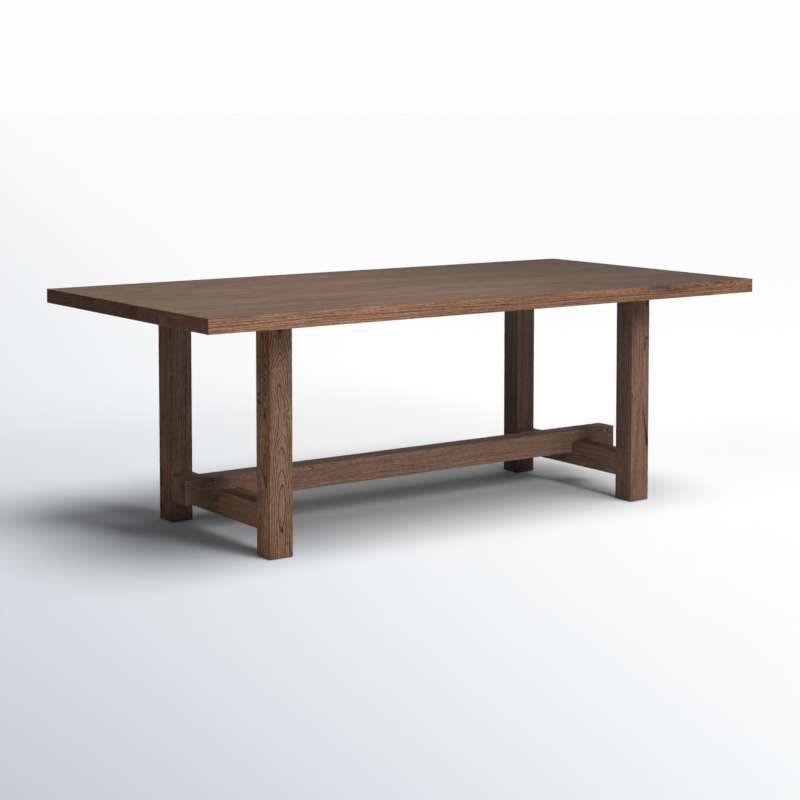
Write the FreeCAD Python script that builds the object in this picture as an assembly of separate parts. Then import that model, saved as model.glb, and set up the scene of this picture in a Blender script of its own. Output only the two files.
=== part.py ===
"""A solid wood dining table on two leg frames, tied by one long centre stretcher.

Each piece is a separate solid, in millimetres, with +Z up and the length along X.
The origin is on the floor, under the centre of the top.
"""
import FreeCAD, Part
import math
import os

Vector = FreeCAD.Vector

# Driving dimensions of the whole table
TABLE_LENGTH = 2133.6
TABLE_WIDTH = 1066.8
TABLE_HEIGHT = 762.0
TOP_THICKNESS = 45.5
TIMBER = 79.0
LEG_INSET_END = 308.0
LEG_INSET_SIDE = 183.0
EDGE_ROUND = 1.2

# Width of each board of the top, from the front edge to the back edge. The last one takes what is left.
BOARD_WIDTHS = [159.0, 134.0, 134.0, 146.0, 138.0, 122.0, 120.0]

# Low stretchers
CROSS_BOTTOM = 83.0
CROSS_HEIGHT = 77.5
LONG_BOTTOM = 125.5
LONG_HEIGHT = 76.5
LONG_OVERHANG = 118.0

# Bearers under the top, and the tenons that join the rails to the legs
BEARER_HEIGHT = 36.0
CROSS_TENON_LENGTH = 45.0
CROSS_TENON_THICKNESS = 26.0
CROSS_TENON_HEIGHT = 54.0
BEARER_TENON_LENGTH = 40.0
BEARER_TENON_WIDTH = 50.0
BEARER_TENON_HEIGHT = 16.0
MORTISE_END_GAP = 2.0

# Bolts, washers and threaded inserts
BOLT_RADIUS = 4.0
BOLT_HOLE_RADIUS = 4.5
BOLT_HEAD_RADIUS = 6.5
BOLT_HEAD_HEIGHT = 8.0
HEX_SOCKET_WIDTH = 6.0
HEX_SOCKET_DEPTH = 4.0
WASHER_RADIUS = 12.0
WASHER_THICKNESS = 1.6
INSERT_RADIUS = 6.5
INSERT_FLANGE_RADIUS = 9.0
INSERT_FLANGE = 1.5
INSERT_LENGTH = 20.0
ROUND_GAP = 0.4
INSERT_TIP_ROOM = 3.0
BOLT_TIP_ROOM = 2.0
LAP_RECESS_DEPTH = 20.0
LAP_BOLT_SPACING = 38.0
TOP_BOLT_SPACING = 210.0
TOP_BOLT_PLAY = 12.0
TOP_RECESS_DEPTH = 12.0
RECESS_RADIUS = 13.5

# Glides under the feet
GLIDE_RADIUS = 19.0
GLIDE_THICKNESS = 5.0
GLIDE_STANDS_OUT = 2.0
SCREW_SHANK_RADIUS = 1.8
SCREW_HEAD_RADIUS = 3.6
SCREW_HEAD_HEIGHT = 2.0
SCREW_SEAT = 2.8
SCREW_TIP = 26.0

# Heights and places worked out from the driving dimensions
TOP_UNDERSIDE = TABLE_HEIGHT - TOP_THICKNESS
FOOT_LEVEL = GLIDE_STANDS_OUT
LEG_X = TABLE_LENGTH / 2 - LEG_INSET_END - TIMBER / 2
LEG_Y = TABLE_WIDTH / 2 - LEG_INSET_SIDE - TIMBER / 2
LEG_INNER_Y = LEG_Y - TIMBER / 2
CROSS_TOP = CROSS_BOTTOM + CROSS_HEIGHT
LAP_LEVEL = (LONG_BOTTOM + CROSS_TOP) / 2
LONG_LENGTH = 2 * (LEG_X + TIMBER / 2 + LONG_OVERHANG)
BEARER_BOTTOM = TOP_UNDERSIDE - BEARER_HEIGHT
TOP_SEAT = BEARER_BOTTOM + TOP_RECESS_DEPTH
LAP_SEAT = CROSS_BOTTOM + LAP_RECESS_DEPTH
SIDES = {"left": -1, "right": 1}
ENDS = {"front": -1, "back": 1}


def block(x_span, y_span, z_span):
    """A box from three (low, high) spans."""
    low, high = zip(x_span, y_span, z_span)
    size = [b - a for a, b in zip(low, high)]
    return Part.makeBox(size[0], size[1], size[2], Vector(*low))


def bar(centre_x, centre_y, size_x, size_y, z_span):
    """A box centred at one place in plan, over a span of heights."""
    return block(
        (centre_x - size_x / 2, centre_x + size_x / 2),
        (centre_y - size_y / 2, centre_y + size_y / 2),
        z_span,
    )


def upright_cylinder(x, y, radius, z_span):
    """A cylinder standing on the lower height of its span."""
    return Part.makeCylinder(radius, z_span[1] - z_span[0], Vector(x, y, z_span[0]))


def upright_slot(x, y, radius, play, z_span):
    """A solid to cut with: a cylinder with room to move along Y, or a plain one where there is no play."""
    if play == 0:
        return upright_cylinder(x, y, radius, z_span)
    ends = [upright_cylinder(x, y + way * play / 2, radius, z_span) for way in (-1, 1)]
    middle = bar(x, y, 2 * radius, play, z_span)
    return middle.fuse(ends).removeSplitter()


def along(edge, axis):
    """Whether a straight edge runs along one axis (0, 1 or 2)."""
    start, end = edge.Vertexes[0].Point, edge.Vertexes[-1].Point
    step = end - start
    others = [abs(step[k]) for k in range(3) if k != axis]
    return abs(step[axis]) > 1 and max(others) < 1e-6


def outer_edges(solid, axis, box):
    """The edges along one axis that lie on two faces of the given box (a BoundBox)."""
    limits = [(box.XMin, box.XMax), (box.YMin, box.YMax), (box.ZMin, box.ZMax)]
    found = []
    for edge in solid.Edges:
        if edge.Curve.TypeId != "Part::GeomLine" or not along(edge, axis):
            continue
        middle = edge.CenterOfMass
        others = [k for k in range(3) if k != axis]
        if all(min(abs(middle[k] - limit) for limit in limits[k]) < 1e-6 for k in others):
            found.append(edge)
    return found


def save(node, solids):
    """Write one node, which is one solid or a group of separate solids."""
    group = solids if isinstance(solids, list) else [solids]
    for solid in group:
        assert solid.isValid() and len(solid.Solids) == 1, node
    shape = group[0] if len(group) == 1 else Part.makeCompound(group)
    shape.exportStep("parts/" + node + ".step")
    print(node, len(group), "solids", round(shape.Volume / 1000), "cm3")


def top_bolt_places():
    """Where the six bolts hold the top: three in a row along each bearer."""
    return [
        (side * LEG_X, step * TOP_BOLT_SPACING)
        for side in SIDES.values()
        for step in (-1, 0, 1)
    ]


def lap_bolt_places():
    """Where the four bolts hold the laps: two at each crossing of the stretchers."""
    return [
        (side * LEG_X, way * LAP_BOLT_SPACING / 2)
        for side in SIDES.values()
        for way in (-1, 1)
    ]


def leg_places():
    """The name, X and Y of each leg."""
    return [
        (end + "_" + side, SIDES[side] * LEG_X, ENDS[end] * LEG_Y)
        for end in ENDS
        for side in SIDES
    ]


def insert_pocket(x, y, mouth):
    """The space that a threaded insert is driven into, upwards from its mouth."""
    flange = upright_cylinder(x, y, INSERT_FLANGE_RADIUS + ROUND_GAP, (mouth, mouth + INSERT_FLANGE))
    body = upright_cylinder(x, y, INSERT_RADIUS + ROUND_GAP, (mouth, mouth + INSERT_LENGTH + INSERT_TIP_ROOM))
    return flange.fuse(body)


def threaded_insert(x, y, mouth):
    """A flanged steel insert, with its bore open at both ends."""
    flange = upright_cylinder(x, y, INSERT_FLANGE_RADIUS, (mouth, mouth + INSERT_FLANGE))
    body = upright_cylinder(x, y, INSERT_RADIUS, (mouth, mouth + INSERT_LENGTH))
    bore = upright_cylinder(x, y, BOLT_RADIUS + ROUND_GAP, (mouth, mouth + INSERT_LENGTH))
    return flange.fuse(body).cut(bore).removeSplitter()


def socket_bolt(x, y, seat, tip):
    """A socket head bolt that points up: its head hangs under the seat and its shank ends at the tip."""
    head = upright_cylinder(x, y, BOLT_HEAD_RADIUS, (seat - BOLT_HEAD_HEIGHT, seat))
    shank = upright_cylinder(x, y, BOLT_RADIUS, (seat, tip))
    corner = HEX_SOCKET_WIDTH / math.sqrt(3)
    points = [
        Vector(x + corner * math.cos(math.radians(60 * k)), y + corner * math.sin(math.radians(60 * k)),
               seat - BOLT_HEAD_HEIGHT)
        for k in range(7)
    ]
    socket = Part.Face(Part.makePolygon(points)).extrude(Vector(0, 0, HEX_SOCKET_DEPTH))
    return head.fuse(shank).cut(socket).removeSplitter()


def washer(x, y, seat):
    """A flat washer whose upper face is at the seat."""
    span = (seat - WASHER_THICKNESS, seat)
    hole = upright_cylinder(x, y, BOLT_RADIUS + ROUND_GAP, span)
    return upright_cylinder(x, y, WASHER_RADIUS, span).cut(hole)


def top_boards():
    """The boards of the top, front to back, with pockets for the inserts above the bearers."""
    whole = FreeCAD.BoundBox(-TABLE_LENGTH / 2, -TABLE_WIDTH / 2, TOP_UNDERSIDE,
                             TABLE_LENGTH / 2, TABLE_WIDTH / 2, TABLE_HEIGHT)
    joints = [whole.YMin]
    for width in BOARD_WIDTHS:
        joints.append(joints[-1] + width)
    joints.append(whole.YMax)
    boards = []
    for front, back in zip(joints[:-1], joints[1:]):
        board = block((whole.XMin, whole.XMax), (front, back), (TOP_UNDERSIDE, TABLE_HEIGHT))
        arrises = [edge for axis in range(3) for edge in outer_edges(board, axis, whole)]
        board = board.makeFillet(EDGE_ROUND, arrises)
        for x, y in top_bolt_places():
            if front < y < back:
                board = board.cut(insert_pocket(x, y, TOP_UNDERSIDE))
        boards.append(board)
    return boards


def leg(x, y):
    """A square post with mortises in its inner face and a recess for its glide."""
    post = bar(x, y, TIMBER, TIMBER, (FOOT_LEVEL, TOP_UNDERSIDE))
    long_arrises = outer_edges(post, 2, post.BoundBox)
    foot_arrises = [
        edge for axis in (0, 1) for edge in outer_edges(post, axis, post.BoundBox)
        if abs(edge.CenterOfMass.z - FOOT_LEVEL) < 1e-6
    ]
    post = post.makeFillet(EDGE_ROUND, long_arrises + foot_arrises)
    inward = -math.copysign(1, y)
    for width, length, z_span in (cross_tenon_sizes(), bearer_tenon_sizes()):
        depth = length + MORTISE_END_GAP
        centre_y = y + inward * (TIMBER / 2 - depth / 2)
        post = post.cut(bar(x, centre_y, width, depth, z_span))
    recess = upright_cylinder(x, y, GLIDE_RADIUS + ROUND_GAP, (FOOT_LEVEL, GLIDE_THICKNESS))
    pilot_span = (GLIDE_THICKNESS, SCREW_TIP + BOLT_TIP_ROOM)
    pilot = upright_cylinder(x, y, SCREW_SHANK_RADIUS + ROUND_GAP, pilot_span)
    return post.cut(recess).cut(pilot)


def cross_tenon_sizes():
    """Width along X, length and height span of a cross stretcher's tenon."""
    middle = CROSS_BOTTOM + CROSS_HEIGHT / 2
    return (CROSS_TENON_THICKNESS, CROSS_TENON_LENGTH,
            (middle - CROSS_TENON_HEIGHT / 2, middle + CROSS_TENON_HEIGHT / 2))


def bearer_tenon_sizes():
    """Width along X, length and height span of a bearer's tenon."""
    middle = BEARER_BOTTOM + BEARER_HEIGHT / 2
    return (BEARER_TENON_WIDTH, BEARER_TENON_LENGTH,
            (middle - BEARER_TENON_HEIGHT / 2, middle + BEARER_TENON_HEIGHT / 2))


def tenoned_rail(x, z_span, tenon):
    """A rail along Y between two legs, with its long arrises eased and a tenon at each end."""
    rail = bar(x, 0, TIMBER, 2 * LEG_INNER_Y, z_span)
    rail = rail.makeFillet(EDGE_ROUND, outer_edges(rail, 1, rail.BoundBox))
    width, length, tenon_span = tenon
    reach = 2 * (LEG_INNER_Y + length)
    return rail.fuse(bar(x, 0, width, reach, tenon_span)).removeSplitter()


def cross_stretcher(x):
    """The low rail of one leg frame, notched on top for the long stretcher and bored for its bolts."""
    rail = tenoned_rail(x, (CROSS_BOTTOM, CROSS_TOP), cross_tenon_sizes())
    rail = rail.cut(bar(x, 0, 2 * TIMBER, TIMBER, (LAP_LEVEL, CROSS_TOP + TIMBER)))
    for place_x, place_y in lap_bolt_places():
        if place_x == x:
            rail = rail.cut(upright_cylinder(x, place_y, RECESS_RADIUS, (CROSS_BOTTOM, LAP_SEAT)))
            rail = rail.cut(upright_cylinder(x, place_y, BOLT_HOLE_RADIUS, (CROSS_BOTTOM, CROSS_TOP)))
    return rail


def bearer(x):
    """The flat rail under the top, with a round hole in the middle and slots for the outer bolts."""
    rail = tenoned_rail(x, (BEARER_BOTTOM, TOP_UNDERSIDE), bearer_tenon_sizes())
    for place_x, place_y in top_bolt_places():
        if place_x != x:
            continue
        play = 0 if place_y == 0 else TOP_BOLT_PLAY
        for radius, top in ((RECESS_RADIUS, TOP_SEAT), (BOLT_HOLE_RADIUS, TOP_UNDERSIDE)):
            rail = rail.cut(upright_slot(x, place_y, radius, play, (BEARER_BOTTOM, top)))
    return rail


def long_stretcher():
    """The centre stretcher, notched underneath over each cross stretcher."""
    beam = bar(0, 0, LONG_LENGTH, TIMBER, (LONG_BOTTOM, LONG_BOTTOM + LONG_HEIGHT))
    arrises = [edge for axis in range(3) for edge in outer_edges(beam, axis, beam.BoundBox)]
    beam = beam.makeFillet(EDGE_ROUND, arrises)
    for side in SIDES.values():
        beam = beam.cut(bar(side * LEG_X, 0, TIMBER, 2 * TIMBER, (0, LAP_LEVEL)))
    for x, y in lap_bolt_places():
        beam = beam.cut(insert_pocket(x, y, LAP_LEVEL))
    return beam


def glide(x, y):
    """A nylon disc with its lower rim eased and a counterbored hole."""
    disc = upright_cylinder(x, y, GLIDE_RADIUS, (0, GLIDE_THICKNESS))
    rim = [edge for edge in disc.Edges if edge.BoundBox.ZMax < 1e-6]
    disc = disc.makeFillet(EDGE_ROUND, rim)
    disc = disc.cut(upright_cylinder(x, y, SCREW_HEAD_RADIUS + ROUND_GAP, (0, SCREW_SEAT)))
    return disc.cut(upright_cylinder(x, y, SCREW_SHANK_RADIUS + ROUND_GAP, (SCREW_SEAT, GLIDE_THICKNESS)))


def glide_screw(x, y):
    """A pan head screw that holds a glide to its leg."""
    head = upright_cylinder(x, y, SCREW_HEAD_RADIUS, (SCREW_SEAT - SCREW_HEAD_HEIGHT, SCREW_SEAT))
    shank = upright_cylinder(x, y, SCREW_SHANK_RADIUS, (SCREW_SEAT, SCREW_TIP))
    return head.fuse(shank).removeSplitter()


def main():
    os.makedirs("parts", exist_ok=True)
    for number, board in enumerate(top_boards(), start=1):
        save("top_board_" + str(number), board)
    for name, x, y in leg_places():
        save("leg_" + name, leg(x, y))
    for name, side in SIDES.items():
        save("cross_stretcher_" + name, cross_stretcher(side * LEG_X))
        save("bearer_" + name, bearer(side * LEG_X))
    save("long_stretcher", long_stretcher())

    top_tip = TOP_UNDERSIDE + INSERT_LENGTH - BOLT_TIP_ROOM
    save("top_washers", [washer(x, y, TOP_SEAT) for x, y in top_bolt_places()])
    save("top_bolts", [socket_bolt(x, y, TOP_SEAT - WASHER_THICKNESS, top_tip) for x, y in top_bolt_places()])
    save("top_inserts", [threaded_insert(x, y, TOP_UNDERSIDE) for x, y in top_bolt_places()])

    lap_tip = LAP_LEVEL + INSERT_LENGTH - BOLT_TIP_ROOM
    save("lap_washers", [washer(x, y, LAP_SEAT) for x, y in lap_bolt_places()])
    save("lap_bolts", [socket_bolt(x, y, LAP_SEAT - WASHER_THICKNESS, lap_tip) for x, y in lap_bolt_places()])
    save("lap_inserts", [threaded_insert(x, y, LAP_LEVEL) for x, y in lap_bolt_places()])

    save("foot_glides", [glide(x, y) for name, x, y in leg_places()])
    save("glide_screws", [glide_screw(x, y) for name, x, y in leg_places()])


main()
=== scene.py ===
import bpy
import math
from mathutils import Matrix, Vector


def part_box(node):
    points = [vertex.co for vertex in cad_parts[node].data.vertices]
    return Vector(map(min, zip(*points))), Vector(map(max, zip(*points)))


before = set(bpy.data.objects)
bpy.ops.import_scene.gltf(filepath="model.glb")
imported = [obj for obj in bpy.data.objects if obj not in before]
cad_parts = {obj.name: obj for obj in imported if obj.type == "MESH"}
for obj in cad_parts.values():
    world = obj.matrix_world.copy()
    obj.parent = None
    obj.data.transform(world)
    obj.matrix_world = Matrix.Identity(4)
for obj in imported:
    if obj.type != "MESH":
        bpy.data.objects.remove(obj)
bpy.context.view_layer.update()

# The boards of the top
# Eight planks of open-pored oak, glued edge to edge, sanded flush, stained brown and lacquered satin.
# Every plank is sawn from its own log, so each has its own rings, and its ends show them as end grain.

NUMBER = "NodeSocketFloat"
VECTOR = "NodeSocketVector"
PLAIN = (1.0, 1.0, 1.0)


def opaque(colour):
    """A colour as a shader socket takes it."""
    return (*colour, 1.0)


class Bench:
    """A node tree being filled: each call adds one node, wires its inputs and hands back one output."""

    def __init__(self, tree):
        self.tree = tree

    def wire(self, value, socket):
        """Links an output to a socket, or sets a plain value there."""
        if isinstance(value, bpy.types.NodeSocket):
            self.tree.links.new(value, socket)
        else:
            socket.default_value = value

    def math(self, operation, first, second=0.0, third=0.0, clamp=False):
        node = self.tree.nodes.new("ShaderNodeMath")
        node.operation = operation
        node.use_clamp = clamp
        for value, socket in zip((first, second, third), node.inputs):
            self.wire(value, socket)
        return node.outputs[0]

    def vector(self, operation, first, second=(0, 0, 0), third=(0, 0, 0), output=0):
        node = self.tree.nodes.new("ShaderNodeVectorMath")
        node.operation = operation
        for value, socket in zip((first, second, third), node.inputs):
            self.wire(value, socket)
        return node.outputs[output]

    def join(self, x, y, z):
        node = self.tree.nodes.new("ShaderNodeCombineXYZ")
        for value, socket in zip((x, y, z), node.inputs):
            self.wire(value, socket)
        return node.outputs[0]

    def split(self, vector):
        node = self.tree.nodes.new("ShaderNodeSeparateXYZ")
        self.wire(vector, node.inputs[0])
        return tuple(node.outputs)

    def noise(self, place, repeats, shift, detail=2.0, output="Fac"):
        """Noise on a place that is first multiplied by how often the noise repeats per metre on each axis."""
        node = self.tree.nodes.new("ShaderNodeTexNoise")
        self.wire(self.vector("MULTIPLY_ADD", place, repeats, shift), node.inputs["Vector"])
        node.inputs["Scale"].default_value = 1.0
        node.inputs["Detail"].default_value = detail
        return node.outputs[output]

    def noise_on_line(self, number):
        node = self.tree.nodes.new("ShaderNodeTexNoise")
        node.noise_dimensions = "1D"
        self.wire(number, node.inputs["W"])
        node.inputs["Scale"].default_value = 1.0
        node.inputs["Detail"].default_value = 1.0
        return node.outputs["Fac"]

    def swayed(self, value, noise, reach):
        """The value plus the noise, which lies about a half, made to lie about zero and times its reach."""
        return self.math("MULTIPLY_ADD", self.math("SUBTRACT", noise, 0.5), reach, value)

    def chance(self, number):
        """A fixed chance value for each number."""
        node = self.tree.nodes.new("ShaderNodeTexWhiteNoise")
        node.noise_dimensions = "1D"
        self.wire(number, node.inputs["W"])
        return node.outputs["Value"]

    def turned(self, vector, centre, turn):
        """A place or direction in the frame of one piece, whose X runs along the grain."""
        node = self.tree.nodes.new("ShaderNodeMapping")
        node.vector_type = "TEXTURE"
        node.inputs["Location"].default_value = centre
        node.inputs["Rotation"].default_value = turn
        self.wire(vector, node.inputs["Vector"])
        return node.outputs[0]

    def ramp(self, value, low, high, to_low=0.0, to_high=1.0):
        """A smooth step from one value to another while the input goes from low to high."""
        node = self.tree.nodes.new("ShaderNodeMapRange")
        node.interpolation_type = "SMOOTHSTEP"
        for given, socket in zip((value, low, high, to_low, to_high), node.inputs):
            self.wire(given, socket)
        return node.outputs["Result"]

    def curve(self, value, stops):
        """A smooth curve through stops whose places and values lie between 0 and 1."""
        node = self.tree.nodes.new("ShaderNodeFloatCurve")
        points = node.mapping.curves[0].points
        points[0].location = stops[0]
        points[1].location = stops[-1]
        for stop in stops[1:-1]:
            points.new(*stop)
        node.mapping.update()
        self.wire(value, node.inputs["Value"])
        return node.outputs["Value"]

    def mix(self, factor, first, second, blend="MIX"):
        node = self.tree.nodes.new("ShaderNodeMix")
        node.data_type = "RGBA"
        node.blend_type = blend
        for value, index in ((factor, 0), (first, 6), (second, 7)):
            self.wire(value, node.inputs[index])
        return node.outputs[2]

    def shaded(self, colour, factor, shade):
        """The colour times a shade, by as much as the factor says."""
        return self.mix(1.0, colour, self.mix(factor, opaque(PLAIN), opaque(shade)), "MULTIPLY")

    def group(self, tree, **values):
        """Places a group, with its inputs given by name, and hands back its outputs."""
        node = self.tree.nodes.new("ShaderNodeGroup")
        node.node_tree = tree
        for name, value in values.items():
            self.wire(value, node.inputs[name.replace("_", " ")])
        return node.outputs

    def relief(self, shader, height, distance, strength):
        """Lets a height bend the light on a shader, as dents of a given depth would."""
        node = self.tree.nodes.new("ShaderNodeBump")
        node.inputs["Distance"].default_value = distance
        node.inputs["Strength"].default_value = strength
        self.wire(height, node.inputs["Height"])
        self.wire(node.outputs[0], shader.inputs["Normal"])


def new_group(name, inputs, outputs):
    """An empty shader group with named sockets, with the bench that fills it, its inputs and its outputs."""
    tree = bpy.data.node_groups.new(name, "ShaderNodeTree")
    for label, kind in inputs:
        tree.interface.new_socket(label, in_out="INPUT", socket_type=kind)
    for label in outputs:
        tree.interface.new_socket(label, in_out="OUTPUT", socket_type=NUMBER)
    given = tree.nodes.new("NodeGroupInput").outputs
    results = tree.nodes.new("NodeGroupOutput").inputs
    return Bench(tree), given, results


def new_material(name):
    """A material with the bench that fills it and its Principled shader."""
    material = bpy.data.materials.new(name)
    material.use_nodes = True
    return material, Bench(material.node_tree), material.node_tree.nodes["Principled BSDF"]


# The values of a noise between which an effect goes from nothing to full, where most of the noise counts
MIDDLE = (0.3, 0.7)
# How often each uneven thing about the rings repeats per metre, along the grain, across it and in depth
DRIFT = (1.1, 0.0, 0.0)
WAVE = (2.6, 12.0, 12.0)
RIPPLE = (26.0, 90.0, 90.0)
JAG = (70.0, 420.0, 420.0)
BREAK = (9.0, 80.0, 80.0)
BREAK_SHIFT = (5.0, 2.0, 9.0)
JAG_REACH = 0.0008
# The power by which rings crowd past the outer radius
OUTER_POWER = 8.0
# The share of a ring over which a line sets in, and how much faster than its share it fades
LINE_RISE = 0.14
FADE_SPEED = 2.0
# Just under one, so that a line keeps a little width where a face grazes its ring
GRAZING = 0.97
# Steps on the noises that are read once for each ring number
CROWD_STEP = 0.31
CHANCE_STEP = 3.7
BAND_STEP = 0.7
FINE_STEP = 6.0
BAND_START = 40.0
FINE_START = 80.0
# Between which values of the noise a line goes from broken or torn to whole, and what is left of it there
WHOLE = (0.32, 0.55)
UNTORN = (0.36, 0.54)
LINE_LEFT = 0.6
BAND_LIMITS = (0.25, 0.75)


def growth_rings():
    """Rings round a pith that wanders along the plank.

    The ring number is the distance from the pith, made uneven by slow and quick noise, divided by the ring
    width. Past the outer radius the rings grow narrow: a high power of the distance over that radius is
    added. A line is darkest where a ring begins and fades over a share of it. The share shrinks with the sine
    of the angle between the face's normal and the way out from the pith, so that lines stay thin where a face
    grazes the rings, but not in the swirl round a knot.
    """
    bench, given, results = new_group(
        "growth rings",
        [
            ("Place", VECTOR), ("Facing", VECTOR), ("Pith Across", NUMBER), ("Pith Depth", NUMBER),
            ("Ring Width", NUMBER), ("Outer Radius", NUMBER), ("Wander", NUMBER), ("Waviness", NUMBER),
            ("Ripple", NUMBER), ("Crowding", NUMBER), ("Line Share", NUMBER), ("Faintest", NUMBER),
            ("Push", NUMBER), ("Swirl", NUMBER), ("Seed", NUMBER),
        ],
        ["Line", "Band", "Fine"],
    )
    place, seed = given["Place"], given["Seed"]
    shift = bench.join(seed, seed, seed)
    across, depth = bench.split(place)[1:]
    drift = bench.split(bench.noise(place, DRIFT, shift, 1.0, "Color"))
    wander = bench.math("MULTIPLY", given["Wander"], -1.0)
    offsets = []
    for value, pith, sway in ((across, "Pith Across", drift[0]), (depth, "Pith Depth", drift[1])):
        offsets.append(bench.swayed(bench.math("SUBTRACT", value, given[pith]), sway, wander))
    outward = bench.join(0.0, *offsets)
    way_out = bench.vector("NORMALIZE", outward)
    cosine = bench.vector("DOT_PRODUCT", way_out, given["Facing"], output="Value")
    squared = bench.math("MULTIPLY", cosine, cosine)
    sine = bench.math("SQRT", bench.math("MULTIPLY_ADD", squared, -GRAZING, 1.0))
    width = bench.math("MAXIMUM", sine, given["Swirl"])

    jag = bench.noise(place, JAG, shift)
    distance = bench.vector("LENGTH", outward, output="Value")
    distance = bench.swayed(distance, bench.noise(place, WAVE, shift), given["Waviness"])
    distance = bench.swayed(distance, bench.noise(place, RIPPLE, shift), given["Ripple"])
    distance = bench.swayed(distance, jag, JAG_REACH)
    distance = bench.math("ADD", distance, given["Push"])
    outer = bench.math("POWER", bench.math("DIVIDE", distance, given["Outer Radius"]), OUTER_POWER)
    number = bench.math("ADD", bench.math("DIVIDE", distance, given["Ring Width"]), outer)
    crowd = bench.noise_on_line(bench.math("MULTIPLY_ADD", number, CROWD_STEP, seed))
    number = bench.swayed(number, crowd, given["Crowding"])

    rise = bench.math("MULTIPLY", width, LINE_RISE)
    share = bench.math("MULTIPLY", width, given["Line Share"])
    ring = bench.math("FLOOR", bench.math("ADD", number, rise))
    inside = bench.math("SUBTRACT", number, ring)
    start = bench.math("ADD", 1.0, bench.math("DIVIDE", inside, rise), clamp=True)
    left = bench.math("SUBTRACT", 1.0, bench.math("DIVIDE", inside, share))
    fade = bench.math("MULTIPLY", FADE_SPEED, left, clamp=True)
    strength = bench.chance(bench.math("MULTIPLY_ADD", ring, CHANCE_STEP, seed))
    strength = bench.ramp(strength, 0.0, 1.0, given["Faintest"], 1.0)
    whole = bench.ramp(bench.noise(place, BREAK, BREAK_SHIFT), *WHOLE, LINE_LEFT, 1.0)
    untorn = bench.ramp(jag, *UNTORN, LINE_LEFT, 1.0)
    line = bench.math("MULTIPLY", start, fade)
    line = bench.math("MULTIPLY", line, bench.math("MULTIPLY", strength, whole))
    band = bench.math("MULTIPLY_ADD", number, BAND_STEP, bench.math("ADD", seed, BAND_START))
    fine = bench.math("MULTIPLY_ADD", number, FINE_STEP, bench.math("ADD", seed, FINE_START))
    bench.wire(bench.math("MULTIPLY", line, untorn), results["Line"])
    bench.wire(bench.ramp(bench.noise_on_line(band), *BAND_LIMITS), results["Band"])
    bench.wire(bench.ramp(bench.noise_on_line(fine), *MIDDLE), results["Fine"])
    return bench.tree


# How often each pattern of the fibres repeats per metre, along the grain, across it and in depth
CLOUD = (2.2, 10.0, 10.0)
HUE = (3.1, 16.0, 16.0)
HUE_SHIFT = (7.0, 5.0, 3.0)
WIDE_STREAK = (4.0, 130.0, 130.0)
THIN_STREAK = (10.0, 300.0, 300.0)
FLECK = (80.0, 300.0, 300.0)
PORE = (45.0, 1500.0, 1500.0)
STREAK_LIMITS = (0.38, 0.62)
FLECK_LIMITS = (0.42, 0.62)
PORE_LIMITS = (0.58, 0.72)
WIDE_SHARE = 0.3
# How much denser the pores stand in a ring's dark line
PORES_IN_LINE = 0.14


def open_grain():
    """Clouds, streaks, flecks and pores drawn out along the grain: noise much longer than it is wide."""
    bench, given, results = new_group(
        "open grain", [("Place", VECTOR), ("Line", NUMBER), ("Seed", NUMBER)],
        ["Cloud", "Hue", "Streak", "Fleck", "Pore"],
    )
    place, seed = given["Place"], given["Seed"]
    shift = bench.join(seed, seed, seed)
    thin = bench.math("MULTIPLY", bench.noise(place, THIN_STREAK, shift), 1.0 - WIDE_SHARE)
    streak = bench.math("MULTIPLY_ADD", bench.noise(place, WIDE_STREAK, shift), WIDE_SHARE, thin)
    pore = bench.math("MULTIPLY_ADD", given["Line"], PORES_IN_LINE, bench.noise(place, PORE, shift, 1.0))
    bench.wire(bench.ramp(bench.noise(place, CLOUD, shift, 3.0), *MIDDLE), results["Cloud"])
    bench.wire(bench.ramp(bench.noise(place, HUE, HUE_SHIFT), *MIDDLE), results["Hue"])
    bench.wire(bench.ramp(streak, *STREAK_LIMITS), results["Streak"])
    bench.wire(bench.ramp(bench.noise(place, FLECK, shift), *FLECK_LIMITS), results["Fleck"])
    bench.wire(bench.ramp(pore, *PORE_LIMITS), results["Pore"])
    return bench.tree


def bell_swell():
    """A bell-shaped swell round a mark: e to the power of minus the squared distance in sizes of the mark."""
    bench, given, results = new_group(
        "bell swell", [("Place", VECTOR), ("Centre", VECTOR), ("Size", VECTOR)], ["Swell"],
    )
    offset = bench.vector("DIVIDE", bench.vector("SUBTRACT", given["Place"], given["Centre"]), given["Size"])
    squared = bench.vector("DOT_PRODUCT", offset, offset, output="Value")
    bench.wire(bench.math("EXPONENT", bench.math("MULTIPLY", squared, -1.0)), results["Swell"])
    return bench.tree


# The noise by which wear bites more or less far into the arrises, and its least and most share of their width
BITE = (35.0, 35.0, 35.0)
BITE_SHIFT = (3.0, 1.0, 2.0)
LEAST_BITE = 0.3
MOST_BITE = 1.5


def eased_arris():
    """Where two faces of a box meet: the second smallest of the distances to its faces is near nothing."""
    bench, given, results = new_group(
        "eased arris", [("Place", VECTOR), ("Half Size", VECTOR), ("Width", NUMBER)], ["Arris"],
    )
    mirrored = bench.vector("ABSOLUTE", given["Place"])
    x, y, z = bench.split(bench.vector("SUBTRACT", given["Half Size"], mirrored))
    near = bench.math("MINIMUM", x, y)
    far = bench.math("MINIMUM", bench.math("MAXIMUM", x, y), z)
    second = bench.math("MAXIMUM", near, far)
    bite = bench.ramp(bench.noise(given["Place"], BITE, BITE_SHIFT, 3.0), *MIDDLE, LEAST_BITE, MOST_BITE)
    reach = bench.math("MULTIPLY", given["Width"], bite)
    bench.wire(bench.math("SUBTRACT", 1.0, bench.math("DIVIDE", second, reach), clamp=True), results["Arris"])
    return bench.tree


RINGS = growth_rings()
GRAIN = open_grain()
SWELL = bell_swell()
ARRIS = eased_arris()

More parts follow.
